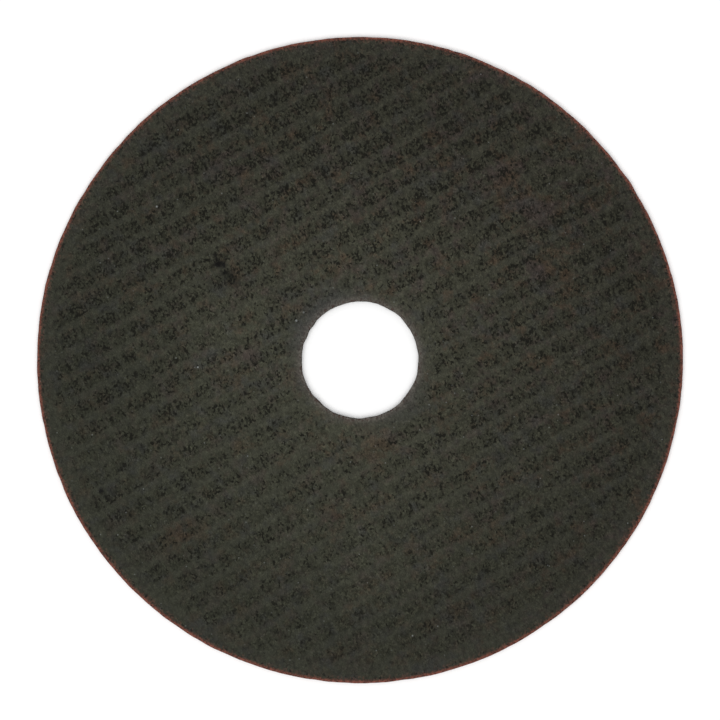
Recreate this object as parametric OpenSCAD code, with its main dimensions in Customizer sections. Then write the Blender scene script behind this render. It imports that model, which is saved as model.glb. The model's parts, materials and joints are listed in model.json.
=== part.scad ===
// Flat cut-off wheel for a hand-held angle grinder: a thin disc of resin-bonded abrasive,
// pressed in one piece, with a plain arbor bore and no steel ring in it.
// A glass-fibre mesh is pressed into each face. Its broad weft yarns lie flush in rows, with
// sunk slots between them. On the front face the warp yarns cross the slots as low ridges.
// The mesh stops short of the rim and of the bore, which leaves a plain band at each.
// The wheel lies on its rear face, with the bore's axis along Z.

/* [Wheel] */
// Outside diameter
wheel_d = 125; // [100:1:230]
// Thickness over the two faces
wheel_t = 1.6; // [1:0.1:3.2]
// Diameter of the arbor bore
bore_d = 22.23; // [16:0.01:25.4]

/* [Edges] */
// Radial width of the rounded edge at the rim
rim_edge_w = 0.6; // [0.1:0.05:0.9]
// Height of the rounded edge at the rim
rim_edge_h = 0.35; // [0.1:0.05:0.45]
// Chamfer at each end of the bore
bore_chamfer = 0.15; // [0.05:0.05:0.4]

/* [Glass mesh] */
// Distance from one weft row to the next
weft_pitch = 4.35; // [3:0.05:6]
// Width of a weft yarn
weft_w = 1.55; // [0.8:0.05:2.2]
// Angle of the weft rows from X
weft_angle = 29; // [0:1:90]
// Distance of the middle weft row from the wheel's axis
weft_offset = -1.5; // [-3:0.1:3]
// Distance from one warp yarn to the next
warp_pitch = 4.25; // [3:0.05:6]
// Width of a warp yarn
warp_w = 0.95; // [0.5:0.05:1.6]
// Height of a warp yarn above the floor of the slots
warp_h = 0.11; // [0.03:0.01:0.2]
// Lean of the warp yarns from square to the rows
warp_lean = 2.3; // [0:0.1:5]
// Distance of the middle warp yarn from the wheel's axis
warp_offset = 1.5; // [-3:0.1:3]
// Depth of the slots between the weft rows
slot_depth = 0.15; // [0.05:0.01:0.2]

/* [Plain bands] */
// Width of the plain band inside the rim
rim_band = 3.3; // [1:0.1:6]
// Width of the plain ring around the bore
hub_band = 2.8; // [1:0.1:12]

/* [Hidden] */
$fn = 180;
wheel_r = wheel_d / 2;
bore_r = bore_d / 2;
mesh_r = wheel_r - rim_band;
mesh_hole_r = bore_r + hub_band;
// Straight steps in the rounded edge of the rim
rim_steps = 2;
// How far a cutting shape runs past the surface it cuts
overrun = 0.5;

// Points of the rim's rounded edge about a centre at height z, from angle a to angle b
function rim_edge(z, a, b) =
    [for (i = [0 : rim_steps])
        let (t = a + (b - a) * i / rim_steps)
        [wheel_r - rim_edge_w * (1 - cos(t)), z + rim_edge_h * sin(t)]];

// Places of parallel yarns, side by side from one edge of the mesh to the other
function yarn_places(pitch, offset) =
    let (reach = ceil((mesh_r + abs(offset)) / pitch))
    [for (i = [-reach : reach]) offset + i * pitch];

// Radial section of the pressed disc, with its rounded rim and chamfered bore
module section() {
    polygon(concat(
        [[bore_r, bore_chamfer], [bore_r + bore_chamfer, 0]],
        rim_edge(rim_edge_h, -90, 0),
        rim_edge(wheel_t - rim_edge_h, 0, 90),
        [[bore_r + bore_chamfer, wheel_t], [bore_r, wheel_t - bore_chamfer]]
    ));
}

// Slots between the weft rows, over the ring of the face that holds the mesh
module slots() {
    linear_extrude(slot_depth + overrun)
        difference() {
            circle(mesh_r);
            circle(mesh_hole_r);
            rotate(weft_angle)
                for (y = yarn_places(weft_pitch, weft_offset))
                    translate([-wheel_r, y - weft_w / 2]) square([wheel_d, weft_w]);
        }
}

// Warp yarns as ridges that run across the slots and rise from their floor
module warp_ridges() {
    rotate(weft_angle + 90 + warp_lean)
        for (y = yarn_places(warp_pitch, warp_offset))
            translate([-wheel_r, y, 0])
                rotate([90, 0, 90])
                    linear_extrude(wheel_d)
                        polygon([
                            [-warp_w / 2, -overrun], [warp_w / 2, -overrun],
                            [warp_w / 2, 0], [0, warp_h], [-warp_w / 2, 0]
                        ]);
}

module cut_off_wheel() {
    color([0.21, 0.205, 0.18])
        difference() {
            rotate_extrude() section();
            translate([0, 0, wheel_t - slot_depth])
                difference() {
                    slots();
                    warp_ridges();
                }
            translate([0, 0, -overrun]) slots();
        }
}

cut_off_wheel();
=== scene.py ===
"""Looks of a flat cut-off wheel: a pressed abrasive disc with a glass-fibre mesh in both faces."""

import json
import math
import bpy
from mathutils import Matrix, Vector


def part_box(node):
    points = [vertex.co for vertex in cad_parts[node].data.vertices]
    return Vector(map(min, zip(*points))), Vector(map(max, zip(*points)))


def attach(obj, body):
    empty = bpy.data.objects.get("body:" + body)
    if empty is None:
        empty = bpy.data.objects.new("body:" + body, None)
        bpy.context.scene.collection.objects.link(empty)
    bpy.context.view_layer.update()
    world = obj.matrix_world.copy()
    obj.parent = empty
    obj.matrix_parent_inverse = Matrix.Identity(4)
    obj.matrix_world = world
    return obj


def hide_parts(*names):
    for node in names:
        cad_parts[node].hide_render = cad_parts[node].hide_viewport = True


bl_info = {
    "name": "Cut-off wheel",
    "version": (1, 0, 0),
    "blender": (4, 5, 0),
    "location": "View3D > Sidebar > Wheel",
    "description": "Builds a resin-bonded cut-off wheel with its glass-fibre mesh, and a studio for it",
    "category": "Add Mesh",
}

import bpy
import numpy as np
from bpy.props import FloatProperty, FloatVectorProperty, IntProperty, PointerProperty
from mathutils import Vector
from mathutils.geometry import delaunay_2d_cdt

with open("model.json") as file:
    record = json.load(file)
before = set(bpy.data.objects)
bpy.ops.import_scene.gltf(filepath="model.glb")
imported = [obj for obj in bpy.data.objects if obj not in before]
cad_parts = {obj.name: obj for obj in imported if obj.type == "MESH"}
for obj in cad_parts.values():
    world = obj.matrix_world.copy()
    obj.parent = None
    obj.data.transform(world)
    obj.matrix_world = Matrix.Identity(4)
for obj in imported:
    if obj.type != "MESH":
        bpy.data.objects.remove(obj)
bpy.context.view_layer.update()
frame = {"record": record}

MM = 0.001
NODE = "cut_off_wheel"
BODY = "root"
PIECE = "pressed_wheel"

# The packed model gives the wheel's box and its bore
LOW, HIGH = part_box(NODE)
BORE = next(m for m in frame["record"]["mounts"] if m["name"] == "arbor_bore")

# The floor lies this far below the wheel, so that their faces don't fall together
FLOOR_GAP = 0.02 * MM

# Width of the square image, and of the wheel in it, in pixels
IMAGE_WIDTH = 720.0
WHEEL_WIDTH = 645.4


def length(name, description, default):
    """A length property, in metres."""
    return FloatProperty(name=name, description=description, default=default, unit="LENGTH", precision=5)


def angle(name, description, degrees):
    """An angle property, given in degrees."""
    return FloatProperty(
        name=name, description=description, default=math.radians(degrees), subtype="ANGLE"
    )


def share(name, description, default):
    """A property from 0 to 1."""
    return FloatProperty(
        name=name, description=description, default=default, min=0, max=1, subtype="FACTOR"
    )


def colour(name, description, default):
    """A linear colour property."""
    return FloatVectorProperty(
        name=name, description=description, default=default, size=3, min=0, max=1, subtype="COLOR"
    )


class WheelSizes(bpy.types.PropertyGroup):
    """Sizes of the pressed disc."""

    radius: length("Radius", "Outside radius of the wheel", min(HIGH.x, -LOW.x, HIGH.y, -LOW.y))
    thickness: length("Thickness", "Thickness over the two faces", HIGH.z - LOW.z)
    bore_radius: length("Bore radius", "Radius of the arbor bore", BORE["dims"]["r_mm"] * MM)
    bore_chamfer: length("Bore chamfer", "Broken edge at each end of the bore", 0.15 * MM)
    edge_width: length("Edge width", "Radial width of the rounded edge at the rim", 0.6 * MM)
    edge_height: length("Edge height", "Height of the rounded edge at the rim", 0.35 * MM)
    rim_band: length("Rim band", "Width of the plain band inside the rim", 3.3 * MM)
    hub_band: length("Hub band", "Width of the plain ring around the bore", 2.8 * MM)
    rim_wear: length("Rim wear", "Depth of the ragged rim", 0.28 * MM)
    bore_wear: length("Bore wear", "Depth of the ragged edge of the bore", 0.36 * MM)
    rim_steps: IntProperty(name="Rim steps", description="Points around the rim", default=720, min=90)
    bore_steps: IntProperty(name="Bore steps", description="Points around the bore", default=180, min=45)


class MeshSizes(bpy.types.PropertyGroup):
    """Sizes of the glass-fibre mesh in the faces."""

    weft_pitch: length("Weft pitch", "Distance from one weft row to the next", 4.35 * MM)
    weft_width: length("Weft width", "Width of a weft yarn", 1.55 * MM)
    weft_offset: length("Weft offset", "Distance of the middle weft row from the axis", -1.5 * MM)
    weft_angle: angle("Weft angle", "Angle of the weft rows from X", 29.0)
    weft_bow: length("Weft bow", "How far the rows bow out of line at the rim", 0.45 * MM)
    weft_pull_x: length("Weft pull X", "Pull of the rows out of line at the rim, along X", -0.37 * MM)
    weft_pull_y: length("Weft pull Y", "Pull of the rows out of line at the rim, along Y", 0.50 * MM)
    warp_pitch: length("Warp pitch", "Distance from one warp yarn to the next", 4.25 * MM)
    warp_width: length("Warp width", "Width of a warp yarn", 0.95 * MM)
    warp_offset: length("Warp offset", "Distance of the middle warp yarn from the axis", 1.5 * MM)
    warp_lean: angle("Warp lean", "Lean of the warp yarns from square to the rows", 2.3)
    warp_pull_x: length("Warp pull X", "Pull of the warp yarns out of line at the rim, along X", -0.30 * MM)
    warp_pull_y: length("Warp pull Y", "Pull of the warp yarns out of line at the rim, along Y", -0.25 * MM)
    warp_rise: length("Warp rise", "Height of a warp yarn above the floor of the slots", 0.11 * MM)
    slot_depth: length("Slot depth", "Depth of the slots between the weft rows", 0.15 * MM)
    slope: length("Slope", "Width of the slope at the side of a yarn", 0.5 * MM)
    grain: length("Grain", "Height of the grit in the slots", 0.05 * MM)


class WheelFinish(bpy.types.PropertyGroup):
    """Colours of the wheel, as linear values, and the tones and sides that they follow."""

    resin: colour("Resin", "Dark resin film where it is greenest", (0.0332, 0.0355, 0.0238))
    umber: colour("Umber", "Dark resin film where it is warmest", (0.0360, 0.0349, 0.0238))
    # Painted shade: the pit colour darkens the pores as the shade inside them
    pit_shade: colour("Pit", "Open pits between the grains", (0.0055, 0.0052, 0.0036))
    rust: colour("Rust", "Warm grains that show through", (0.0490, 0.0325, 0.0208))
    plum: colour("Plum", "Dull purple-brown grains that show through", (0.0425, 0.0320, 0.0275))
    slate: colour("Slate", "Cold grey patches of bare fibre", (0.0305, 0.0315, 0.0296))
    scar: colour("Scar", "Black floor of the marks", (0.0045, 0.0042, 0.0036))
    # Painted highlight: the colour of the glints
    glint_highlight: colour("Spark", "Bare glints of glass", (0.50, 0.53, 0.52))
    rim: colour("Rim", "Red-brown abrasive where the face meets the rim", (0.162, 0.0575, 0.0395))
    rim_shade: colour("Rim shade", "Darker grains there", (0.042, 0.0190, 0.0145))
    cut: colour("Cut", "Bare red-brown abrasive around the rim", (0.212, 0.0700, 0.0480))
    cut_shade: colour("Cut shade", "Darker grains around the rim", (0.090, 0.0360, 0.0260))
    bore: colour("Bore", "Abrasive in the wall of the bore", (0.0560, 0.0460, 0.0350))
    lip: colour("Lip", "Pale worn lip around the bore", (0.0950, 0.0835, 0.0740))
    hub_tone: FloatProperty(name="Hub tone", description="Tone next to the bore", default=1.185)
    rim_tone: FloatProperty(name="Rim tone", description="Tone towards the rim", default=0.760)
    # Painted light: the two settings below make the face lighter towards one side of the rim and darker
    # towards the other, standing in for light that falls more on that side
    painted_light_tilt: share("Pale tilt", "How much paler the resin film is towards one side of the rim", 0.08)
    painted_light_side: angle("Pale side", "Side where the resin film is palest, as an angle from X", 189.0)
    film_side: angle("Film side", "Side where the resin film lies thickest, as an angle from X", 240.0)
    warm_side: angle("Warm side", "Side where the resin film is warmest, as an angle from X", 45.0)
    grit_side: angle("Grit side", "Side where the grit lies most open, as an angle from X", 105.0)
    cold_side: angle("Cold side", "Line of the cold patches beside the bore, as an angle from X", 135.0)


class StudioSettings(bpy.types.PropertyGroup):
    """Floor, light and camera."""

    floor: colour("Floor", "Pale floor", (0.93, 0.93, 0.93))
    floor_size: length("Floor size", "Length of the floor's sides", 6.0)
    floor_roughness: share("Floor roughness", "How matt the floor is", 0.9)
    sky: FloatProperty(name="Sky", description="Strength of the even light all round", default=0.5)
    light_power: FloatProperty(
        name="Light power", description="Power of the large soft light", default=22.0, unit="POWER"
    )
    light_size: length("Light size", "Length of the soft light's sides", 1.4)
    light_place: FloatVectorProperty(
        name="Light place",
        description="Middle of the soft light",
        default=(-0.12, -0.25, 1.6),
        subtype="TRANSLATION",
        unit="LENGTH",
    )
    lens: FloatProperty(name="Lens", description="Focal length of the camera", default=135.0, unit="CAMERA")
    nearest: length("Nearest", "Closest distance that the camera shows", 0.01)


# Shape of the wheel

# All random draws start from this seed
SEED = 11
# Grid lines over the floor of a cell, and the spacing of the rings in the plain bands
FRONT_DETAIL = (5, 0.5 * MM)
REAR_DETAIL = (1, 0.9 * MM)
# How far points in the cells are moved at random, and kept off the bands, as shares of that spacing
JITTER = 0.25
CLEARANCE = 0.6
# Closest that two points of a face may lie, in millimetres
CLOSEST = 1e-6
# The grain on the yarns is this many times lower than the grit in the slots
YARN_SMOOTHER = 3
# Flat top of a warp yarn to each side of its middle, as a share of its width
WARP_FLAT = 0.2
# The slots run out into the plain bands over this many slopes
SLOT_ENDS = 2
# Shares of the rows' bow along X and along Y
BOW_SHARES = (0.45, 1.0)

# Angles of the rings in the rim's rounded edge, and the share of the wear where the edge leaves the face
EDGE_ANGLES = np.radians([90, 68, 45, 22, 0])
EDGE_WEAR = 0.3
# Rings in the bore's lip: shares of the chamfer outwards and down, and of the wear
LIP_RINGS = ((1, 0, 0.7), (1 / 3, 1 / 3, 0.9), (0, 1, 1.0))
# Heights of the rings in the two walls, as shares of the thickness
RIM_HEIGHTS = (0.62, 0.5, 0.38)
BORE_HEIGHTS = (0.7, 0.5, 0.3)
# Count of a worn wall's long waves, and widths of its short waves and of each ring's own bumps, in points
LONG_WAVES = 60
SHORT_WAVES = 3
RING_BUMPS = (1, 4)
# Share of the wear that all rings of a wall have in common
COMMON_WEAR = 0.65
# Bands of a wall that still have the face's finish, at each end
FACE_BANDS = 2

# Marks on the front face, in millimetres: the ends of a streak, its half width and depth, and its strength
MARKS = (
    ((-28.2, 20.1), (-27.4, 19.2), 0.45, 0.05, 0.9),
    ((-28.6, 18.1), (-27.6, 18.4), 0.5, 0.06, 0.75),
    ((-27.5, 18.5), (-26.4, 18.5), 0.65, 0.14, 1.4),
    ((-26.0, 16.7), (-24.2, 14.9), 1.25, 0.08, 0.6),
    ((-50.0, -25.4), (-49.9, -25.2), 0.6, 0.10, 1.1),
    ((-48.9, -26.4), (-48.4, -27.0), 0.45, 0.08, 0.8),
)

# Warm stains on the front face, in millimetres: the middle and the radius, and the strength
WARM_STAINS = (
    ((34.9, 17.9), 3.0, 1.0),
    ((34.3, 29.1), 3.5, 0.8),
    ((28.5, 34.9), 3.5, 0.8),
    ((24.4, 56.0), 3.0, 0.6),
    ((-22.7, 36.4), 3.0, 0.7),
    ((-35.9, 21.7), 3.0, 0.8),
    ((-21.8, 0.9), 3.0, 0.8),
    ((-34.5, -33.0), 4.0, 0.8),
    ((-5.1, -30.7), 3.5, 0.8),
    ((3.0, -17.0), 3.5, 0.6),
)

# Paler and darker areas of the front face, in millimetres: the middle and the radius, and how much paler
PALE_AREAS = (
    ((3.0, -41.0), 10.0, 0.10),
    ((-27.0, 5.0), 8.0, 0.11),
    ((37.0, 38.0), 10.0, 0.09),
    ((-51.0, 0.0), 12.0, -0.09),
    ((27.0, -9.0), 15.0, -0.07),
    ((42.0, -44.0), 9.0, -0.07),
)

# The brightest painted highlights (glints) on the front face, in millimetres: the place and the half width,
# and the strength
PAINTED_GLINTS = (
    ((-31.3, -1.4), 0.22, 0.46),
    ((-39.2, 29.6), 0.22, 0.33),
    ((-12.3, 7.6), 0.26, 0.36),
    ((10.1, -53.2), 0.22, 0.38),
    ((-46.8, 28.7), 0.20, 0.45),
    ((-35.5, 0.4), 0.20, 0.45),
    ((-10.9, 9.2), 0.24, 0.17),
    ((36.2, -39.6), 0.20, 0.36),
)

# A mark or glint is full up to the first share of its half width, and ends at the second
SPOT_FADE = (0.3, 1.3)


def smooth_step(low, high, x):
    """0 below low, 1 above high, with a smooth rise between."""
    t = np.clip((x - low) / (high - low), 0, 1)
    return t * t * (3 - 2 * t)


def on_circle(radius, count, turn=0.0):
    """Points on a circle, turned by a share of their spacing."""
    a = (np.arange(count) + turn) * 2 * math.pi / count
    return np.stack([np.cos(a), np.sin(a)], axis=1) * np.asarray(radius).reshape(-1, 1)


def ragged(count, widths, rng):
    """A ragged closed line from 0 to 1, made of bumps of the given widths in points."""
    line = np.zeros(count)
    for width in widths:
        rough = np.fft.rfft(rng.standard_normal(count))
        rough *= np.exp(-0.5 * (np.arange(len(rough)) * width * math.pi / count) ** 2)
        smooth = np.fft.irfft(rough, count)
        line += smooth / smooth.std()
    line -= line.min()
    return line / line.max()


class YarnGrid:
    """Where the mesh's yarns lie, with warp yarns at whole u and weft rows at whole v."""

    def __init__(self, mesh, radius):
        weft = mesh.weft_angle + math.pi / 2
        warp = weft + mesh.warp_lean + math.pi / 2
        self.normals = np.array([[math.cos(warp), math.sin(warp)], [math.cos(weft), math.sin(weft)]])
        self.pitches = np.array([mesh.warp_pitch, mesh.weft_pitch])
        self.offsets = np.array([mesh.warp_offset, mesh.weft_offset])
        self.bow = mesh.weft_bow
        self.pull = np.array([[mesh.warp_pull_x, mesh.weft_pull_x], [mesh.warp_pull_y, mesh.weft_pull_y]])
        self.radius = radius

    def bend(self, points):
        """How far the drawn and bowed yarns are out of line at each point."""
        out = points / self.radius
        off = out @ self.pull
        off[:, 1] += self.bow * out ** 2 @ BOW_SHARES
        return off @ self.normals

    def place(self, counts):
        """Points in the face's plane for counts of yarns."""
        flat = np.linalg.solve(self.normals, (self.offsets + counts * self.pitches).T).T
        return flat - self.bend(flat)

    def count(self, points):
        """Counts of yarns at points in the face's plane."""
        flat = points + self.bend(points)
        return (flat @ self.normals.T - self.offsets) / self.pitches


def grid_lines(pitch, width, slope, floor_lines, reach):
    """Counts at which grid lines follow a set of yarns: on each yarn, at its foot and over the floor."""
    foot = (width + slope) / 2
    shoulder = (width - slope) / 2
    on_yarn = np.array([-foot, -shoulder, 0, shoulder, foot])
    on_floor = np.linspace(foot, pitch - foot, floor_lines + 2)[1:-1]
    whole = np.arange(-reach, reach + 1)
    return (whole[:, None] + np.concatenate([on_yarn, on_floor]) / pitch).ravel()


def mesh_edges(wheel):
    """Inner and outer radius of the ring of the face that holds the mesh."""
    return wheel.bore_radius + wheel.hub_band, wheel.radius - wheel.rim_band


def sunk(points, counts, wheel, mesh):
    """Depth of the pressed face at each point, and how far each point lies in an open cell."""
    off_yarn = np.abs(counts - np.round(counts)) * [mesh.warp_pitch, mesh.weft_pitch]
    half = mesh.slope / 2
    slot = smooth_step(mesh.weft_width / 2 - half, mesh.weft_width / 2 + half, off_yarn[:, 1])
    warp = 1 - smooth_step(WARP_FLAT * mesh.warp_width, mesh.warp_width / 2 + half, off_yarn[:, 0])
    r = np.hypot(points[:, 0], points[:, 1])
    inner, outer = mesh_edges(wheel)
    slot *= smooth_step(inner, inner + SLOT_ENDS * mesh.slope, r)
    slot *= 1 - smooth_step(outer - SLOT_ENDS * mesh.slope, outer, r)
    return slot * (mesh.slot_depth - mesh.warp_rise * warp), slot * (1 - warp)


def marked(points):
    """How strongly each point lies in a mark, and how deep the mark is there."""
    strength = np.zeros(len(points))
    depth = np.zeros(len(points))
    full, end = SPOT_FADE
    for start, stop, half_width, sunk_by, amount in MARKS:
        start = np.array(start) * MM
        along = np.array(stop) * MM - start
        t = np.clip((points - start) @ along / (along @ along), 0, 1)
        away = np.linalg.norm(points - start - t[:, None] * along, axis=1)
        near = 1 - smooth_step(full * half_width * MM, end * half_width * MM, away)
        strength = np.maximum(strength, near * amount)
        depth = np.maximum(depth, near * sunk_by * MM)
    return strength, depth


def patches(points, places):
    """Sum of soft round patches at each point, from their middles, radii and strengths."""
    found = np.zeros(len(points))
    for middle, radius, strength in places:
        away = np.linalg.norm(points / MM - middle, axis=1) / radius
        found += np.exp(-away ** 2) * strength
    return found


def band_rings(wheel, spacing):
    """Rings of points in a face's plain bands. The first lies at the rim, the second at the bore."""
    rim_r = wheel.radius - wheel.edge_width - wheel.rim_wear
    bore_r = wheel.bore_radius + wheel.bore_chamfer + wheel.bore_wear
    inner, outer = mesh_edges(wheel)
    rings = [on_circle(rim_r, wheel.rim_steps), on_circle(bore_r, wheel.bore_steps)]
    for i, r in enumerate(np.arange(rim_r - spacing, outer - spacing, -spacing)):
        rings.append(on_circle(r, wheel.rim_steps, (i + 1) % 2 / 2))
    for i, r in enumerate(np.arange(bore_r + spacing, inner + spacing, spacing)):
        rings.append(on_circle(r, wheel.bore_steps, (i + 1) % 2 / 2))
    return rings


def mesh_points(wheel, mesh, grid, floor_lines, spacing, rng):
    """Points of a face that follow the yarns, moved a little at random in the cells."""
    reach = math.ceil(wheel.radius / min(mesh.weft_pitch, mesh.warp_pitch)) + 1
    u = grid_lines(mesh.warp_pitch, mesh.warp_width, mesh.slope, floor_lines, reach)
    v = grid_lines(mesh.weft_pitch, mesh.weft_width, mesh.slope, floor_lines, reach)
    counts = np.stack(np.meshgrid(u, v), axis=-1).reshape(-1, 2)
    points = grid.place(counts)
    cell = sunk(points, counts, wheel, mesh)[1]
    points += rng.normal(0, JITTER, points.shape) * cell[:, None] * spacing
    r = np.hypot(points[:, 0], points[:, 1])
    inner, outer = mesh_edges(wheel)
    clear = CLEARANCE * spacing
    return points[(r > inner + clear) & (r < outer - clear)]


def face_sheet(wheel, mesh, grid, detail, rng):
    """One face from above: its points, their depths, and its triangles."""
    floor_lines, spacing = detail
    rings = band_rings(wheel, spacing)
    points = np.concatenate([*rings, mesh_points(wheel, mesh, grid, floor_lines, spacing, rng)])
    depth, cell = sunk(points, grid.count(points), wheel, mesh)
    depth += rng.uniform(-1, 1, len(points)) * mesh.grain * cell
    depth += rng.uniform(0, 1, len(points)) * mesh.grain / YARN_SMOOTHER
    edge = wheel.rim_steps + wheel.bore_steps
    depth[:edge] = 0
    made = delaunay_2d_cdt([Vector(p / MM) for p in points], [], [], 0, CLOSEST)
    if len(made[0]) != len(points):
        raise RuntimeError("two points of a face fell together")
    own = np.array([origin[0] for origin in made[3]])
    triangles = own[np.array(made[2])]
    in_bore = ((triangles >= wheel.rim_steps) & (triangles < edge)).all(axis=1)
    return points, depth, facing_up(points, triangles[~in_bore])


def facing_up(points, triangles):
    """The triangles with their corners anticlockwise as seen from above."""
    a, b, c = (points[triangles[:, i]] for i in range(3))
    turned = (b[:, 0] - a[:, 0]) * (c[:, 1] - a[:, 1]) < (b[:, 1] - a[:, 1]) * (c[:, 0] - a[:, 0])
    triangles[turned] = triangles[turned][:, ::-1]
    return triangles


def rim_profile(wheel):
    """Radius, height and share of the wear of the rim's rings, from the front face to the rear."""
    edge = []
    for a in EDGE_ANGLES:
        r = wheel.radius - wheel.edge_width * (1 - math.cos(a))
        wear = EDGE_WEAR + (1 - EDGE_WEAR) * math.cos(a)
        edge.append((r, wheel.edge_height * (1 - math.sin(a)), wear))
    wall = [(wheel.radius, wheel.thickness * s, 1.0) for s in RIM_HEIGHTS]
    front = [(r, wheel.thickness - down, wear) for r, down, wear in edge]
    return front + wall + edge[::-1]


def bore_profile(wheel):
    """Radius, height and share of the wear of the bore's rings, from the front face to the rear."""
    c = wheel.bore_chamfer
    lip = [(wheel.bore_radius + out * c, down * c, wear) for out, down, wear in LIP_RINGS]
    wall = [(wheel.bore_radius, wheel.thickness * s, 1.0) for s in BORE_HEIGHTS]
    front = [(r, wheel.thickness - down, wear) for r, down, wear in lip]
    return front + wall + lip[::-1]


def wall_rings(profile, count, wear, rng):
    """Points of a ragged round wall, one ring after another. Wear below 0 runs inwards."""
    common = ragged(count, (count / LONG_WAVES, SHORT_WAVES), rng)
    rings = []
    for r, z, amount in profile:
        own = ragged(count, RING_BUMPS, rng)
        off = wear * amount * (COMMON_WEAR * common + (1 - COMMON_WEAR) * own)
        rings.append(np.column_stack([on_circle(r + off, count), np.full(count, z)]))
    return np.concatenate(rings)


def wall_bands(profile, steps, start, front_ring, rear_ring):
    """Bands of faces down a wall, from the front face to the rear, and whether each is part of the face."""
    around = np.arange(steps)
    rings = [front_ring + around]
    rings += [start + i * steps + around for i in range(len(profile))]
    rings.append(rear_ring + around)
    bands = []
    for i, (upper, lower) in enumerate(zip(rings, rings[1:])):
        quads = np.stack([upper, lower, np.roll(lower, -1), np.roll(upper, -1)], axis=1)
        on_face = i < FACE_BANDS or i > len(rings) - FACE_BANDS - 2
        bands.append((quads, on_face))
    return bands


def add_vectors(made, name, columns):
    """Stores up to three values for each point of a mesh, as a vector that materials can read."""
    vectors = np.zeros((len(made.vertices), 3), np.float32)
    vectors[: len(columns), : columns.shape[1]] = columns
    made.attributes.new(name, "FLOAT_VECTOR", "POINT").data.foreach_set("vector", vectors.ravel())


def press_wheel(wheel, mesh):
    """The wheel as one closed mesh: two pressed faces, the rim and the bore."""
    rng = np.random.default_rng(SEED)
    grid = YarnGrid(mesh, wheel.radius)
    front, front_depth, front_faces = face_sheet(wheel, mesh, grid, FRONT_DETAIL, rng)
    rear, rear_depth, rear_faces = face_sheet(wheel, mesh, grid, REAR_DETAIL, rng)
    strength, depth = marked(front)
    rim = rim_profile(wheel)
    bore = bore_profile(wheel)
    groups = [
        np.column_stack([front, wheel.thickness - np.maximum(front_depth + depth, 0)]),
        np.column_stack([rear, np.maximum(rear_depth, 0)]),
        wall_rings(rim, wheel.rim_steps, -wheel.rim_wear, rng),
        wall_rings(bore, wheel.bore_steps, wheel.bore_wear, rng),
    ]
    points = np.concatenate(groups) + [0, 0, LOW.z]
    _, rear_start, rim_start, bore_start, _ = np.cumsum([0] + [len(group) for group in groups])
    faces = [front_faces, rear_faces[:, ::-1] + rear_start]
    finishes = [np.zeros(len(group), np.int32) for group in faces]
    walls = (
        (rim, wheel.rim_steps, rim_start, 0, 1),
        (bore, wheel.bore_steps, bore_start, wheel.rim_steps, -1),
    )
    for finish, (profile, steps, start, ring, turn) in enumerate(walls, 1):
        for quads, on_face in wall_bands(profile, steps, start, ring, rear_start + ring):
            faces.append(quads[:, ::turn])
            finishes.append(np.full(steps, 0 if on_face else finish, np.int32))
    made = bpy.data.meshes.new(PIECE)
    made.from_pydata(points.tolist(), [], [face for group in faces for face in group.tolist()])
    made.polygons.foreach_set("material_index", np.concatenate(finishes))
    made.polygons.foreach_set("use_smooth", np.ones(len(made.polygons), bool))
    add_vectors(made, "yarns", grid.count(points[:, :2]))
    warmer = patches(front, WARM_STAINS)
    paler = patches(front, PALE_AREAS)
    add_vectors(made, "stains", np.column_stack([strength, warmer, paler]))
    made.validate()
    made.update()
    return made


# Finish of the wheel. Noises are given as counts per millimetre, and places beside a ring as millimetres
# outwards from it. A pair of tones is for the low and the high end of what it follows.

# Numbers of a Mix node's colour sockets: its two inputs and its output
MIX_FIRST, MIX_SECOND, MIX_RESULT = 6, 7, 2
# A change that follows a noise runs over one of these spreads to each side of the noise's middle
NOISE_MIDDLE = 0.5
NOISE_SPREAD = 0.2
WIDE_SPREAD = 0.3
NARROW_SPREAD = 0.15
# Shine of the matt surfaces
SHINE = 0.12

# Grains are longest along this line in the face's plane, by this much
GRAIN_ANGLE = math.radians(100.0)
GRAIN_LINE = (math.cos(GRAIN_ANGLE), math.sin(GRAIN_ANGLE), 0.0)
GRAIN_STRETCH = 1.3
GRAINS, SPECKLES, MOTTLES, CLUMPS, DRIFTS = 2.9, 3.0, 1.1, 0.5, 1.7
# How far the drift bends the grains, and the distances from a grain's middle over which its gap opens
DRIFT_REACH = 0.7
GAP_OPENS = (0.3, 0.75)
GRAIN_HEIGHT = 0.7

WARM_PATCHES, COLD_PATCHES, PLUM_PATCHES = 0.36, 0.28, 0.17
# Noise at which each kind of patch starts and is full, and how much a placed stain adds to it
WARM_SHOWS = (0.455, 0.69)
COLD_SHOWS = (0.49, 0.72)
PLUM_SHOWS = (0.42, 0.58)
STAIN_LIFT = 0.2
# The cold and plum patches come from another part of the noise
NOISE_SHIFT = (210.0, -75.0, 40.0)

# Softness of a yarn's lower and upper side and its raggedness, in pitches
WEFT_SIDES = (0.13, 0.05, 0.10)
WARP_SIDES = (0.04, 0.06, 0.07)
# Distance to each side of a yarn's middle over which its softness changes, in pitches
SIDE_TURN = 0.05
WANDERS = 0.9
WANDER_SPREAD = 0.25
# Counts of the fibres' noise in each pitch, along and across the weft rows
FIBRES = (1.2, 11.0, 0.0)
# A warp yarn shows narrower than it is: half of what shows is its width divided by this
WARP_NARROWED = 3.4

RED_SPECKLES = 2.2
RED_SHOWS = (0.35, 0.60)

# Fading of the mesh into the plain bands, and how much of the warp yarns is left in clumps of grit
MESH_STARTS = (-1.0, 2.0)
MESH_ENDS = (-1.5, 0.8)
WARP_LEFT = (1.0, 0.7)
# Openness of the grit by cell, by clump and across the wheel, and its change where the film is paler
CELL_OPEN = (0.3, 1.3)
CLUMP_OPEN = (0.55, 1.45)
SIDE_OPEN = (0.26, 1.4)
PALE_COVER = -6.0

# Shares of umber and of warm grains, across the wheel
UMBER_SHARE = (0.15, 0.85)
WARM_SHARE = (0.3, 0.95)
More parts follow.
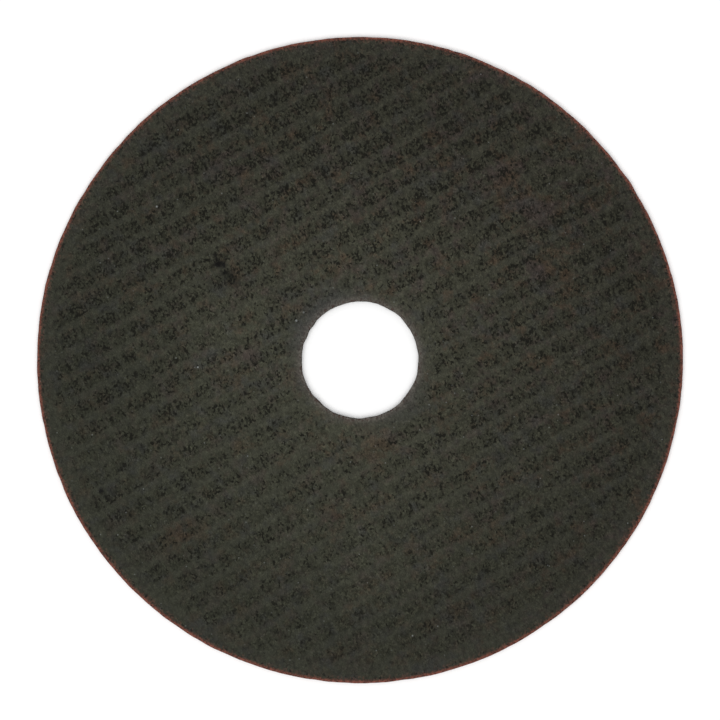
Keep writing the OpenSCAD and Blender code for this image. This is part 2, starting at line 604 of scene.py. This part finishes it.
# Strength of the cold patches, and of the ones beside the bore, which are weaker on the far side
COLD_SHARE = 0.6
FAR_SIDE = -0.83
COLD_TURN = (0.3, 1.0)
COLD_BY_BORE = 0.75
COLD_ENDS = (-1.2, 2.4)
COLD_WANDER = (-1.2, 1.2)

# Tones of the grit's grains and speckles, of the gaps between grains darkened as painted shade, of the
# fibres, and of open cells, which are darker partly as painted shade
GRAIN_TONE = (0.78, 1.22)
SPECKLE_TONE = (0.58, 1.42)
GAP_SHADE = (1.10, 0.80)
FIBRE_TONE = (0.93, 1.07)
CELL_TONE_AND_SHADE = (1.01, 0.855)
# Radii between which the tone goes from the hub's to the rim's, and over which the contrast grows
TONE_RADII = (12.0, 52.0)
CONTRAST_RADII = (12.0, 36.0)
CONTRAST_BY_RADIUS = (0.78, 1.0)
# Contrast of the grain on the yarns and in the cells, across the wheel, and from clump to clump
YARN_CONTRAST = (0.88, 0.56)
CELL_CONTRAST = (1.22, 1.07)
CLUMP_CONTRAST = (0.7, 1.3)
MOTTLE_CONTRAST = (1.6, 1.1)

# Share of grains fallen out into pits, whose dark colour is painted shade: on the film across the wheel, in
# open cells, by the rim, and at most
FILM_PITS = (0.095, 0.03)
CELL_PITS = 0.265
RIM_PITS = 0.14
RIM_PITS_START = (-1.7, -0.9)
MOST_PITS = 0.36
PIT_SHOWS = (-0.07, 0.14)
PIT_DEPTH = (0.98, 0.7)
# Strength of a mark over the grains
MARK_DEPTH = (1.3, 0.7)

# Random painted highlights (glints): their count, their strength for the logarithm of a chance, the most,
# and their size
SPARKS = 0.6
SPARK_STRENGTH = -0.055
SPARK_MOST = 0.155
SPARK_ENDS = (0.04, 0.12)

# Red-brown rim of the face: where it starts, how ragged it is, and the loose red grains inside it
RED_STARTS = (-0.95, -0.40)
RED_WANDER = (-0.2, 0.2)
LOOSE_STARTS = (-1.8, -0.9)
LOOSE_SHARE = 0.28
LOOSE_GRAINS = (0.62, 0.82)

# Worn lip of the bore: its width, how ragged it is, its strength, and the chips along its edge
LIP_WIDTH = 2.1
LIP_WANDER = (-0.25, 0.25)
LIP_STRENGTH = (0.5, 1.3)
CHIP_ENDS = (0.3, 0.9)
CHIP_SHARE = 0.6
CHIP_GRAINS = (0.18, 0.32)

# Roughness from the yarns to the cells, and height of the bump
FACE_ROUGHNESS = (0.68, 0.88)
FACE_BUMP = 0.05 * MM
# Walls of the rim and the bore: pits painted dark as shade, how dark and strong that painted shade is,
# roughness and height of the bump
WALL_PITS = (0.15, 0.35)
WALL_PIT_SHADE = 0.3
WALL_PIT_SHARE = 0.7
WALL_ROUGHNESS = (0.75, 0.92)
WALL_BUMP = 0.08 * MM


def solid(value):
    """A colour input: a socket as it is, or a linear colour with its alpha."""
    return value if isinstance(value, bpy.types.NodeSocket) else (*value, 1.0)


def direction(turn):
    """A direction in the face's plane, at an angle from X."""
    return (math.cos(turn), math.sin(turn), 0.0)


class Tree:
    """Adds nodes to a node tree. An input is a socket to link or a plain value to set."""

    def __init__(self, tree):
        self.tree = tree

    def node(self, kind, inputs=(), **settings):
        """A node of any kind, with its settings and inputs."""
        made = self.tree.nodes.new(kind)
        for name, value in settings.items():
            setattr(made, name, value)
        for key, value in dict(inputs).items():
            if isinstance(value, bpy.types.NodeSocket):
                self.tree.links.new(value, made.inputs[key])
            else:
                made.inputs[key].default_value = value
        return made

    def group(self, group, inputs):
        """The outputs of a node group."""
        return self.node("ShaderNodeGroup", inputs, node_tree=group).outputs

    def attribute(self, name):
        """A vector that is stored at the mesh's points."""
        return self.node("ShaderNodeAttribute", attribute_name=name).outputs["Vector"]

    def math(self, operation, *values):
        """A sum on plain values."""
        return self.node("ShaderNodeMath", enumerate(values), operation=operation).outputs[0]

    def product(self, first, *others):
        """Values multiplied together."""
        for other in others:
            first = self.math("MULTIPLY", first, other)
        return first

    def vector_math(self, operation, *values, output=0):
        """A sum on vectors."""
        return self.node("ShaderNodeVectorMath", enumerate(values), operation=operation).outputs[output]

    def scale(self, vector, by):
        """A vector times a value."""
        return self.node("ShaderNodeVectorMath", {0: vector, "Scale": by}, operation="SCALE").outputs[0]

    def shift(self, vector, by):
        """Two vectors added."""
        return self.vector_math("ADD", vector, by)

    def stretch(self, vector, by):
        """Two vectors multiplied part by part."""
        return self.vector_math("MULTIPLY", vector, by)

    def along(self, vector, line):
        """How far a vector reaches along a direction."""
        return self.vector_math("DOT_PRODUCT", vector, line, output="Value")

    def parts(self, vector):
        """The three parts of a vector."""
        return self.node("ShaderNodeSeparateXYZ", {0: vector}).outputs

    def rise(self, value, low, high, bottom=0.0, top=1.0):
        """A smooth change from bottom to top, as the value goes from low to high."""
        limits = enumerate((value, low, high, bottom, top))
        return self.node("ShaderNodeMapRange", limits, interpolation_type="SMOOTHSTEP").outputs[0]

    def ramp(self, value, low, high, bottom, top):
        """A straight change from bottom to top, as the value goes from low to high."""
        return self.node("ShaderNodeMapRange", enumerate((value, low, high, bottom, top))).outputs[0]

    def between(self, value, bottom, top):
        """A straight change from bottom to top over a mask from 0 to 1."""
        return self.ramp(value, 0.0, 1.0, bottom, top)

    def swing(self, noise, bottom, top, spread=NOISE_SPREAD):
        """A straight change from bottom to top over the spread of a noise."""
        return self.ramp(noise, NOISE_MIDDLE - spread, NOISE_MIDDLE + spread, bottom, top)

    def noise(self, vector, scale, detail=2.0, roughness=0.5, output="Fac"):
        """Smooth noise around 0.5."""
        inputs = {"Vector": vector, "Scale": scale, "Detail": detail, "Roughness": roughness}
        return self.node("ShaderNodeTexNoise", inputs).outputs[output]

    def blend(self, amount, first, second):
        """A colour between two others."""
        inputs = {0: amount, MIX_FIRST: solid(first), MIX_SECOND: solid(second)}
        return self.node("ShaderNodeMix", inputs, data_type="RGBA").outputs[MIX_RESULT]


def floats(*names):
    """Sockets for plain values, as pairs of a name and a socket kind."""
    return [(name, "Float") for name in names]


def new_group(name, inputs, outputs):
    """A shader node group with named sockets, given as pairs of a name and a socket kind."""
    group = bpy.data.node_groups.new(name, "ShaderNodeTree")
    for socket, kind in inputs:
        group.interface.new_socket(socket, in_out="INPUT", socket_type="NodeSocket" + kind)
    for socket, kind in outputs:
        group.interface.new_socket(socket, in_out="OUTPUT", socket_type="NodeSocket" + kind)
    tree = Tree(group)
    given = tree.node("NodeGroupInput").outputs
    return group, tree, given


def grit_group():
    """Grains of the bonded abrasive, over places in millimetres."""
    outputs = floats("Grain", "Gap", "Speckle", "Mottle", "Clump", "Height")
    group, tree, given = new_group("Grit", [("Place", "Vector")], outputs)
    off_line = tree.product(tree.along(given["Place"], GRAIN_LINE), 1 / GRAIN_STRETCH - 1)
    drawn = tree.shift(given["Place"], tree.scale(GRAIN_LINE, off_line))
    drift = tree.shift(tree.noise(drawn, DRIFTS, output="Color"), (-NOISE_MIDDLE,) * 3)
    bent = tree.shift(drawn, tree.scale(drift, DRIFT_REACH))
    grains = tree.node("ShaderNodeTexVoronoi", {"Vector": bent, "Scale": GRAINS}).outputs
    grain = tree.parts(grains["Color"])[0]
    gap = tree.rise(grains["Distance"], *GAP_OPENS)
    speckle = tree.noise(drawn, SPECKLES, detail=3, roughness=0.7)
    mottle = tree.noise(drawn, MOTTLES, roughness=0.6)
    clump = tree.noise(given["Place"], CLUMPS, roughness=0.6)
    height = tree.math("SUBTRACT", tree.math("MULTIPLY_ADD", grain, GRAIN_HEIGHT, speckle), gap)
    masks = {"Grain": grain, "Gap": gap, "Speckle": speckle, "Mottle": mottle}
    tree.node("NodeGroupOutput", {**masks, "Clump": clump, "Height": height})
    return group


def stain_group():
    """Warm and cold patches, over places in millimetres."""
    inputs = [("Place", "Vector"), *floats("Patch")]
    group, tree, given = new_group("Stains", inputs, floats("Warm", "Plum", "Cold"))
    warm = tree.noise(given["Place"], WARM_PATCHES, detail=4, roughness=0.66)
    warm = tree.math("MULTIPLY_ADD", given["Patch"], STAIN_LIFT, warm)
    elsewhere = tree.shift(given["Place"], NOISE_SHIFT)
    cold = tree.noise(elsewhere, COLD_PATCHES, detail=4, roughness=0.65)
    plum = tree.noise(elsewhere, PLUM_PATCHES, detail=1)
    masks = {
        "Warm": tree.rise(warm, *WARM_SHOWS),
        "Plum": tree.rise(plum, *PLUM_SHOWS),
        "Cold": tree.rise(cold, *COLD_SHOWS),
    }
    tree.node("NodeGroupOutput", masks)
    return group


def yarn_mask(tree, count, half_width, wander, sides):
    """Where one set of yarns lies, with a soft and ragged lower and upper side."""
    lower, upper, ragged_by = sides
    off = tree.math("WRAP", count, 0.5, -0.5)
    soft = tree.rise(off, -SIDE_TURN, SIDE_TURN, lower, upper)
    away = tree.math("MULTIPLY_ADD", wander, ragged_by, tree.math("ABSOLUTE", off))
    low = tree.math("SUBTRACT", half_width, soft)
    high = tree.math("ADD", half_width, soft)
    return tree.math("SUBTRACT", 1.0, tree.rise(away, low, high))


def yarn_group():
    """Masks of the mesh's yarns, from counts of yarns and places in millimetres."""
    inputs = [("Yarns", "Vector"), ("Place", "Vector"), *floats("Weft half width", "Warp half width")]
    group, tree, given = new_group("Mesh yarns", inputs, floats("Weft", "Warp", "Fibre", "Cell"))
    wander = tree.noise(given["Place"], WANDERS, detail=3, roughness=0.65)
    wander = tree.swing(wander, -1.0, 1.0, WANDER_SPREAD)
    u, v = tree.parts(given["Yarns"])[:2]
    whole = tree.vector_math("FLOOR", given["Yarns"])
    cell = tree.node("ShaderNodeTexWhiteNoise", {"Vector": whole}, noise_dimensions="2D").outputs["Value"]
    masks = {
        "Weft": yarn_mask(tree, v, given["Weft half width"], wander, WEFT_SIDES),
        "Warp": yarn_mask(tree, u, given["Warp half width"], wander, WARP_SIDES),
        "Fibre": tree.noise(tree.stretch(given["Yarns"], FIBRES), 1.0, roughness=0.6),
        "Cell": cell,
    }
    tree.node("NodeGroupOutput", masks)
    return group


def red_group():
    """Red-brown grains of the cut rim, over places in millimetres."""
    inputs = [("Place", "Vector"), ("Light", "Color"), ("Shade", "Color")]
    group, tree, given = new_group("Red grit", inputs, [("Color", "Color")])
    speckle = tree.noise(given["Place"], RED_SPECKLES, detail=3, roughness=0.7)
    grains = tree.blend(tree.rise(speckle, *RED_SHOWS), given["Shade"], given["Light"])
    tree.node("NodeGroupOutput", {"Color": grains})
    return group


def new_material(name):
    """A material with a Principled shader, and its tree and shader."""
    material = bpy.data.materials.new(name)
    material.use_nodes = True
    material.node_tree.nodes.clear()
    tree = Tree(material.node_tree)
    shader = tree.node("ShaderNodeBsdfPrincipled")
    tree.node("ShaderNodeOutputMaterial", {"Surface": shader.outputs[0]})
    return material, tree, shader


def surface_places(tree):
    """Places on the surface, in millimetres."""
    return tree.scale(tree.node("ShaderNodeTexCoord").outputs["Object"], 1 / MM)


def finish_surface(tree, shader, base, roughness, height, depth):
    """Puts the varying colour, roughness and bump into the shader."""
    bump = tree.node("ShaderNodeBump", {"Strength": 1.0, "Distance": depth, "Height": height})
    tree.tree.links.new(base, shader.inputs["Base Color"])
    tree.tree.links.new(roughness, shader.inputs["Roughness"])
    tree.tree.links.new(bump.outputs[0], shader.inputs["Normal"])
    shader.inputs["Specular IOR Level"].default_value = SHINE


class PressedFace(Tree):
    """The node tree of the wheel's faces, with the places and masks that the steps of its finish share."""

    def __init__(self, tree, wheel, mesh, finish, groups):
        super().__init__(tree)
        self.finish = finish
        self.rim = wheel.radius / MM
        self.bore = (wheel.bore_radius + wheel.bore_chamfer) / MM
        self.mesh_start, self.mesh_end = (edge / MM for edge in mesh_edges(wheel))
        self.place = surface_places(self)
        flat = self.stretch(self.place, (1.0, 1.0, 0.0))
        self.r = self.vector_math("LENGTH", flat, output="Value")
        self.mark, self.warmer, self.paler = self.parts(self.attribute("stains"))
        self.grit = self.group(groups["grit"], {"Place": self.place})
        self.stain = self.group(groups["stain"], {"Place": self.place, "Patch": self.warmer})
        yarns = {
            "Place": self.place,
            "Yarns": self.attribute("yarns"),
            "Weft half width": mesh.weft_width / mesh.weft_pitch / 2,
            "Warp half width": mesh.warp_width / mesh.warp_pitch / WARP_NARROWED,
        }
        self.weave = self.group(groups["yarn"], yarns)
        red = {"Place": self.place, "Light": solid(finish.rim), "Shade": solid(finish.rim_shade)}
        self.red = self.group(groups["red"], red)[0]
        self.bare = self.between_yarns()
        self.open_grit = self.opened()
        self.rough = self.grit_tone_and_gap_shade()

    def across(self, side, far, near):
        """A value that goes from far, at the rim opposite a side, to near, at the rim on that side."""
        return self.ramp(self.along(self.place, direction(side)), -self.rim, self.rim, far, near)

    def ragged_r(self, noise, wander):
        """Distance from the axis, made ragged by a noise."""
        return self.math("ADD", self.r, self.swing(noise, *wander))

    def beside(self, ring, limits, bottom=0.0, top=1.0, r=None):
        """A smooth change between two distances outwards from a ring."""
        low, high = limits
        return self.rise(self.r if r is None else r, ring + low, ring + high, bottom, top)

    def between_yarns(self):
        """How far each place lies between the yarns of the mesh."""
        low = NOISE_MIDDLE - NARROW_SPREAD
        high = NOISE_MIDDLE + NARROW_SPREAD
        warp = self.product(self.weave["Warp"], self.rise(self.grit["Clump"], low, high, *WARP_LEFT))
        yarn = self.math("MAXIMUM", self.weave["Weft"], warp)
        starts = self.beside(self.mesh_start, MESH_STARTS)
        ends = self.beside(self.mesh_end, MESH_ENDS, 1.0, 0.0)
        return self.product(starts, ends, self.math("SUBTRACT", 1.0, yarn))

    def opened(self):
        """How open the grit lies between the yarns."""
        cell = self.between(self.weave["Cell"], *CELL_OPEN)
        clump = self.swing(self.grit["Clump"], *CLUMP_OPEN)
        side = self.across(self.finish.grit_side, *SIDE_OPEN)
        cover = self.math("MINIMUM", self.math("MULTIPLY_ADD", self.paler, PALE_COVER, 1.0), 1.0)
        return self.product(self.bare, cell, clump, side, cover)

    def grit_tone_and_gap_shade(self):
        """Tone of the grains and speckles, and painted shade in the gaps between the grains, around 1."""
        grain = self.between(self.grit["Grain"], *GRAIN_TONE)
        speckle = self.swing(self.grit["Speckle"], *SPECKLE_TONE, WIDE_SPREAD)
        # Painted shade: the gaps between grains are darkened
        return self.product(grain, speckle, self.between(self.grit["Gap"], *GAP_SHADE))


def cold_share(face):
    """Strength of the cold patches: the scattered ones, and the two beside the bore."""
    towards = face.math("DIVIDE", face.along(face.place, direction(face.finish.cold_side)), face.r)
    towards = face.math("MAXIMUM", towards, face.product(towards, FAR_SIDE))
    lobes = face.rise(face.math("POWER", towards, 2.0), *COLD_TURN, 0.0, COLD_BY_BORE)
    r = face.ragged_r(face.grit["Clump"], COLD_WANDER)
    by_bore = face.product(lobes, face.beside(face.mesh_start, COLD_ENDS, 1.0, 0.0, r))
    return face.math("MAXIMUM", face.product(face.stain["Cold"], COLD_SHARE), by_bore)


def resin_film(face):
    """Colour of the resin film, with warm grains that show through and cold patches of bare fibre."""
    finish = face.finish
    film = face.blend(face.across(finish.warm_side, *UMBER_SHARE), finish.resin, finish.umber)
    warm = face.blend(face.stain["Plum"], finish.rust, finish.plum)
    thin = face.math("MAXIMUM", face.across(finish.warm_side, *WARM_SHARE), face.warmer)
    film = face.blend(face.product(face.stain["Warm"], thin), film, warm)
    return face.blend(cold_share(face), film, finish.slate)


def grain_contrast(face):
    """How strongly the grain shows, on the yarns and between them."""
    on_yarn = face.across(face.finish.film_side, *YARN_CONTRAST)
    in_cell = face.across(face.finish.film_side, *CELL_CONTRAST)
    contrast = face.math("MULTIPLY_ADD", face.bare, face.math("SUBTRACT", in_cell, on_yarn), on_yarn)
    by_clump = face.swing(face.grit["Clump"], *CLUMP_CONTRAST)
    return face.product(contrast, by_clump, face.ramp(face.r, *CONTRAST_RADII, *CONTRAST_BY_RADIUS))


def film_tone(face):
    """Tone of the face: darker towards the rim; lighter towards one side of the rim as painted light; darker
    in the open cells, partly as painted shade; darker between the grains as painted shade.
    """
    finish = face.finish
    tone = face.ramp(face.r, *TONE_RADII, finish.hub_tone, finish.rim_tone)
    # Painted light: lighter towards one side of the rim, darker towards the other
    pale = face.across(finish.painted_light_side, 1.0 - finish.painted_light_tilt, 1.0 + finish.painted_light_tilt)
    patch = face.math("ADD", 1.0, face.paler)
    grain = face.math("MULTIPLY_ADD", face.math("SUBTRACT", face.rough, 1.0), grain_contrast(face), 1.0)
    mottle = face.math("SUBTRACT", face.grit["Mottle"], NOISE_MIDDLE)
    mottle = face.math("MULTIPLY_ADD", mottle, face.across(finish.film_side, *MOTTLE_CONTRAST), 1.0)
    fibre = face.swing(face.weave["Fibre"], *FIBRE_TONE, WIDE_SPREAD)
    # Open cells darker: partly the bare grit's own colour, partly painted shade in the sunk cells
    return face.product(tone, pale, patch, grain, mottle, fibre, face.between(face.open_grit, *CELL_TONE_AND_SHADE))


def shaded_pits(face, base):
    """Painted shade in pits where grains have fallen out, most of them in the open cells and by the rim."""
    by_rim = face.beside(face.rim, RIM_PITS_START, 0.0, RIM_PITS)
    lost = face.math("ADD", by_rim, face.across(face.finish.film_side, *FILM_PITS))
    lost = face.math("MINIMUM", face.math("MULTIPLY_ADD", face.open_grit, CELL_PITS, lost), MOST_PITS)
    pits = face.rise(face.math("SUBTRACT", lost, face.grit["Grain"]), *PIT_SHOWS)
    pits = face.product(pits, face.swing(face.grit["Speckle"], *PIT_DEPTH))
    return face.blend(pits, base, face.finish.pit_shade)


def dark_marks(face, base):
    """The black scar and spots, broken up by the grains."""
    marks = face.product(face.mark, face.between(face.grit["Grain"], *MARK_DEPTH))
    return face.blend(marks, base, face.finish.scar)


def painted_glints(face, base):
    """Painted highlights: small bright glints of bare glass, rare random ones, and the brightest at their
    own places.
    """
    dots = face.node("ShaderNodeTexVoronoi", {"Vector": face.place, "Scale": SPARKS}).outputs
    chance = face.math("SUBTRACT", 1.0, face.parts(dots["Color"])[0])
    rare = face.product(face.math("LOGARITHM", chance, math.e), SPARK_STRENGTH)
    rare = face.math("MINIMUM", rare, SPARK_MOST)
    glint = face.product(rare, face.rise(dots["Distance"], *SPARK_ENDS, 1.0, 0.0))
    full, end = SPOT_FADE
    for middle, half_width, strength in PAINTED_GLINTS:
        away = face.vector_math("DISTANCE", face.place, (*middle, HIGH.z / MM), output="Value")
        spot = face.rise(away, full * half_width, end * half_width, strength, 0.0)
        glint = face.math("MAXIMUM", glint, spot)
    return face.blend(glint, base, face.finish.glint_highlight)


def red_edge(face, base):
    """Red-brown abrasive along the rim, and loose grains of it just inside."""
    loose = face.beside(face.rim, LOOSE_STARTS, 0.0, LOOSE_SHARE)
    loose = face.product(loose, face.rise(face.grit["Grain"], *LOOSE_GRAINS))
    edge = face.beside(face.rim, RED_STARTS, r=face.ragged_r(face.grit["Speckle"], RED_WANDER))
    return face.blend(face.math("MAXIMUM", loose, edge), base, face.red)


def worn_lip(face, base):
    """Pale worn lip around the bore, with dark chips along its edge."""
    r = face.ragged_r(face.grit["Mottle"], LIP_WANDER)
    lip = face.math("POWER", face.ramp(r, face.bore, face.bore + LIP_WIDTH, 1.0, 0.0), 2.0)
    lip = face.product(lip, face.swing(face.grit["Mottle"], *LIP_STRENGTH))
    base = face.blend(lip, base, face.scale(face.finish.lip, face.rough))
    chips = face.beside(face.bore, CHIP_ENDS, CHIP_SHARE, 0.0)
    chips = face.product(chips, face.rise(face.grit["Grain"], *CHIP_GRAINS, 1.0, 0.0))
    return face.blend(chips, base, face.finish.rim_shade)


def face_material(wheel, mesh, finish, groups):
    """Dark resin face: smoother yarns, gritty cells with pits darkened as painted shade, stains, painted
    highlights (glints) and the red edge.
    """
    material, tree, shader = new_material("pressed_face")
    face = PressedFace(tree.tree, wheel, mesh, finish, groups)
    base = face.scale(resin_film(face), film_tone(face))
    for step in (shaded_pits, dark_marks, painted_glints, red_edge, worn_lip):
        base = step(face, base)
    roughness = face.between(face.bare, *FACE_ROUGHNESS)
    finish_surface(face, shader, base, roughness, face.grit["Height"], FACE_BUMP)
    return material


def edge_material(name, light, shade, groups):
    """Bare bonded abrasive in the wall of the rim or the bore."""
    material, tree, shader = new_material(name)
    place = surface_places(tree)
    grit = tree.group(groups["grit"], {"Place": place})
    grains = tree.group(groups["red"], {"Place": place, "Light": solid(light), "Shade": solid(shade)})[0]
    # Painted shade: pits in the wall are darkened as the shade inside them
    pits = tree.rise(grit["Grain"], *WALL_PITS, WALL_PIT_SHARE, 0.0)
    base = tree.blend(pits, grains, [WALL_PIT_SHADE * part for part in shade])
    roughness = tree.swing(grit["Speckle"], *WALL_ROUGHNESS)
    finish_surface(tree, shader, base, roughness, grit["Height"], WALL_BUMP)
    return material


class WHEEL_OT_press(bpy.types.Operator):
    """Press the wheel: both faces with their mesh, the rim and the bore, as one piece"""

    bl_idname = "wheel.press"
    bl_label = "Press wheel"

    def execute(self, context):
        scene = context.scene
        piece = bpy.data.objects.new(PIECE, press_wheel(scene.wheel_sizes, scene.mesh_sizes))
        scene.collection.objects.link(piece)
        groups = {"grit": grit_group(), "stain": stain_group(), "yarn": yarn_group(), "red": red_group()}
        finish = scene.wheel_finish
        piece.data.materials.append(face_material(scene.wheel_sizes, scene.mesh_sizes, finish, groups))
        piece.data.materials.append(edge_material("cut_rim", finish.cut, finish.cut_shade, groups))
        piece.data.materials.append(edge_material("bore_wall", finish.bore, finish.resin, groups))
        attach(piece, BODY)
        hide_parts(NODE)
        return {"FINISHED"}


class WHEEL_OT_studio(bpy.types.Operator):
    """Set up the pale floor, the soft light and the camera above the wheel"""

    bl_idname = "wheel.studio"
    bl_label = "Set up studio"

    def execute(self, context):
        scene = context.scene
        self.lay_floor(scene, scene.studio_settings)
        self.hang_light(scene, scene.studio_settings)
        self.aim_camera(scene, scene.studio_settings, scene.wheel_sizes)
        scene.view_settings.view_transform = "Standard"
        return {"FINISHED"}

    def lay_floor(self, scene, studio):
        """A flat pale sheet just below the wheel."""
        half = studio.floor_size / 2
        height = LOW.z - FLOOR_GAP
        corners = [(x * half, y * half, height) for x, y in ((-1, -1), (1, -1), (1, 1), (-1, 1))]
        sheet = bpy.data.meshes.new("floor")
        sheet.from_pydata(corners, [], [(0, 1, 2, 3)])
        floor = bpy.data.objects.new("floor", sheet)
        scene.collection.objects.link(floor)
        material, _, shader = new_material("pale_floor")
        shader.inputs["Base Color"].default_value = solid(studio.floor)
        shader.inputs["Roughness"].default_value = studio.floor_roughness
        shader.inputs["Specular IOR Level"].default_value = 0.0
        sheet.materials.append(material)

    def hang_light(self, scene, studio):
        """A large soft light that faces the wheel, and even white light all round."""
        lamp = bpy.data.lights.new("soft_light", "AREA")
        lamp.shape = "SQUARE"
        lamp.size = studio.light_size
        lamp.energy = studio.light_power
        light = bpy.data.objects.new("soft_light", lamp)
        light.location = studio.light_place
        light.rotation_euler = (-Vector(studio.light_place)).to_track_quat("-Z", "Y").to_euler()
        scene.collection.objects.link(light)
        world = bpy.data.worlds.new("studio")
        world.use_nodes = True
        sky = world.node_tree.nodes["Background"]
        sky.inputs["Color"].default_value = (1, 1, 1, 1)
        sky.inputs["Strength"].default_value = studio.sky
        scene.world = world

    def aim_camera(self, scene, studio, wheel):
        """A camera straight above the wheel, at the distance that gives the wheel its width in the image."""
        lens = bpy.data.cameras.new("camera")
        lens.lens = studio.lens
        lens.clip_start = studio.nearest
        camera = bpy.data.objects.new("camera", lens)
        view_width = (2 * wheel.radius - wheel.rim_wear) * IMAGE_WIDTH / WHEEL_WIDTH
        distance = view_width * lens.lens / lens.sensor_width
        camera.location = (0, 0, LOW.z + wheel.thickness / 2 + distance)
        scene.collection.objects.link(camera)
        scene.camera = camera


class WHEEL_PT_sidebar(bpy.types.Panel):
    """Lists the wheel's sizes and finish, and the studio"""

    bl_idname = "WHEEL_PT_sidebar"
    bl_label = "Cut-off wheel"
    bl_space_type = "VIEW_3D"
    bl_region_type = "UI"
    bl_category = "Wheel"

    def draw(self, context):
        for title, group in SETTINGS.items():
            box = self.layout.box()
            box.label(text=group.__doc__)
            for name in group.__annotations__:
                box.prop(getattr(context.scene, title), name)
        self.layout.operator(WHEEL_OT_press.bl_idname)
        self.layout.operator(WHEEL_OT_studio.bl_idname)


SETTINGS = {
    "wheel_sizes": WheelSizes,
    "mesh_sizes": MeshSizes,
    "wheel_finish": WheelFinish,
    "studio_settings": StudioSettings,
}
CLASSES = (*SETTINGS.values(), WHEEL_OT_press, WHEEL_OT_studio, WHEEL_PT_sidebar)


def register():
    for made in CLASSES:
        bpy.utils.register_class(made)
    for name, group in SETTINGS.items():
        setattr(bpy.types.Scene, name, PointerProperty(type=group))


def unregister():
    for name in SETTINGS:
        delattr(bpy.types.Scene, name)
    for made in reversed(CLASSES):
        bpy.utils.unregister_class(made)


def main():
    register()
    bpy.ops.wheel.studio()
    bpy.ops.wheel.press()


if __name__ == "__main__":
    main()
